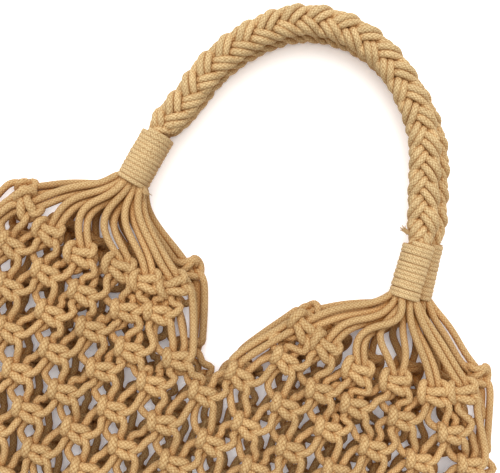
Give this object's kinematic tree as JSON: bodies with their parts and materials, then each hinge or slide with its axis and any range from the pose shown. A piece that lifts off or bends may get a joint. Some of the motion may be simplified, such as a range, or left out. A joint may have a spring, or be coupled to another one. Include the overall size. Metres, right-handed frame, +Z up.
{
  "type": "knotted cord shoulder bag",
  "caption": "Flat-lying shoulder bag in an open square-knot cord net, with a valley between its fans and braided handles bound with cord.",
  "frame": {"origin": "under the middle of the whole bag, on the surface it lies on", "axes": "+Y from the bag's bottom to its handles, +X to the right seen from the front, +Z up out of the front"},
  "size_m": [0.371, 0.4926, 0.0481],
  "materials": {
    "cord": "matte braided cotton cord",
    "wrap": "matte cotton cord, wound tight"
  },
  "bodies": {
    "root": {"back_net": "cord", "front_net": "cord", "bottom_knot_row": "cord", "back_left_fan": "cord", "back_right_fan": "cord", "front_left_fan": "cord", "front_right_fan": "cord", "back_handle_braid": "cord", "front_handle_braid": "cord", "back_left_wrap": "wrap", "back_right_wrap": "wrap", "front_left_wrap": "wrap", "front_right_wrap": "wrap"}
  },
  "joints": []
}
